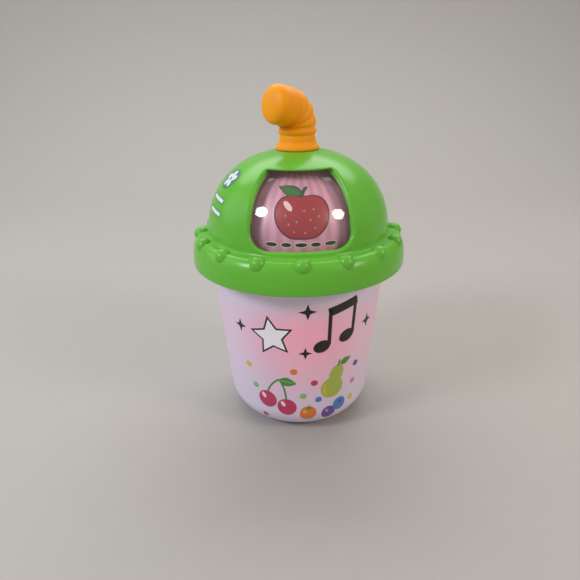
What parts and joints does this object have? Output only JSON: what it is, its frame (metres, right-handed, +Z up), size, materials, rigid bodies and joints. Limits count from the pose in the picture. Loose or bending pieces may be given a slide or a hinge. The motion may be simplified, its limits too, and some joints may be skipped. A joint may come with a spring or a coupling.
{
  "type": "toy blender",
  "caption": "Toy blender cup: frosted lit cup, green domed lid with picture window and knobbed brim, bent ribbed straw that turns the pictures.",
  "frame": {"origin": "middle of the flat base, on the surface that the toy stands on", "axes": "+Z up along the cup's axis, the window looks along -Y, +X to the window's right as seen from the front"},
  "size_m": [0.106, 0.106, 0.1669],
  "materials": {
    "frosted_cup": "frosted translucent white, lit pink from inside",
    "green_plastic": "glossy moulded green",
    "clear_lens": "clear glossy plastic",
    "picture_print": "printed pink stripes",
    "white_plastic": "plain moulded",
    "natural_plastic": "smooth slippery plastic",
    "base_plastic": "fine spark texture",
    "orange_plastic": "satin orange",
    "black_plastic": "plain black",
    "cone_paper": "treated paper cone",
    "screw_steel": "zinc plated",
    "contact_metal": "nickel plated",
    "cell_jacket": "plain two-colour jacket",
    "board_green": "solder mask",
    "led_pink": "tinted clear lamp",
    "capacitor_blue": "shrink sleeve",
    "wire_red": "plain insulation",
    "wire_black": "plain insulation",
    "wire_yellow": "plain insulation"
  },
  "bodies": {
    "housing": {"cup_shell": "frosted_cup", "lid_shell": "green_plastic", "brim_ring": "green_plastic", "window_lens": "clear_lens", "straw_bush": "natural_plastic", "deck_bush": "natural_plastic", "detent_arm": "natural_plastic", "detent_arm_screw": "screw_steel", "turn_switch": "black_plastic", "inner_frame": "white_plastic", "base_plate": "base_plastic", "base_screw_1": "screw_steel", "base_screw_2": "screw_steel", "base_screw_3": "screw_steel", "base_screw_4": "screw_steel", "lid_screw_1": "screw_steel", "lid_screw_2": "screw_steel", "lid_screw_3": "screw_steel", "lid_screw_4": "screw_steel", "battery_box": "white_plastic", "battery_cell_left": "cell_jacket", "battery_cell_right": "cell_jacket", "battery_spring_upper": "contact_metal", "battery_contact_plus": "contact_metal", "battery_contact_minus": "contact_metal", "speaker_frame": "black_plastic", "speaker_cone": "cone_paper", "power_switch_body": "black_plastic", "circuit_board": "board_green", "board_screw_1": "screw_steel", "board_screw_2": "screw_steel", "led_front": "led_pink", "led_right": "led_pink", "led_back": "led_pink", "led_left": "led_pink", "sound_chip": "black_plastic", "capacitor": "capacitor_blue", "speaker_wire_red": "wire_red", "speaker_wire_black": "wire_black", "switch_wire_red": "wire_red", "switch_wire_yellow": "wire_yellow", "turn_wire_black": "wire_black", "turn_wire_yellow": "wire_yellow"},
    "straw_and_drum": {"straw_body": "orange_plastic", "straw_end_cap": "orange_plastic", "straw_screw": "screw_steel", "picture_drum": "white_plastic", "picture_sleeve": "picture_print", "drum_shaft": "white_plastic", "detent_wheel": "natural_plastic"},
    "switch_knob": {"power_switch_knob": "orange_plastic"},
    "door": {"battery_door": "base_plastic", "battery_spring_lower": "contact_metal", "battery_contact_bridge": "contact_metal"},
    "door_screw": {"battery_door_screw": "screw_steel"}
  },
  "joints": [
    {"name": "straw_turn", "type": "hinge", "parent": "housing", "child": "straw_and_drum", "pos_m": [0, 0, 0.1], "axis": [0, 0, 1], "continuous": true, "deforming": ["detent_arm"]},
    {"name": "power_switch_slide", "type": "slide", "parent": "housing", "child": "switch_knob", "axis": [0, 1, 0], "range_m": [0, 0.004]},
    {"name": "battery_door_lift", "type": "slide", "parent": "housing", "child": "door", "axis": [0, 0, -1], "range_m": [0, 0.03]},
    {"name": "door_screw_turn", "type": "hinge", "parent": "door", "child": "door_screw", "pos_m": [0, -0.02004, 0.002], "axis": [0, 0, 1], "continuous": true}
  ]
}
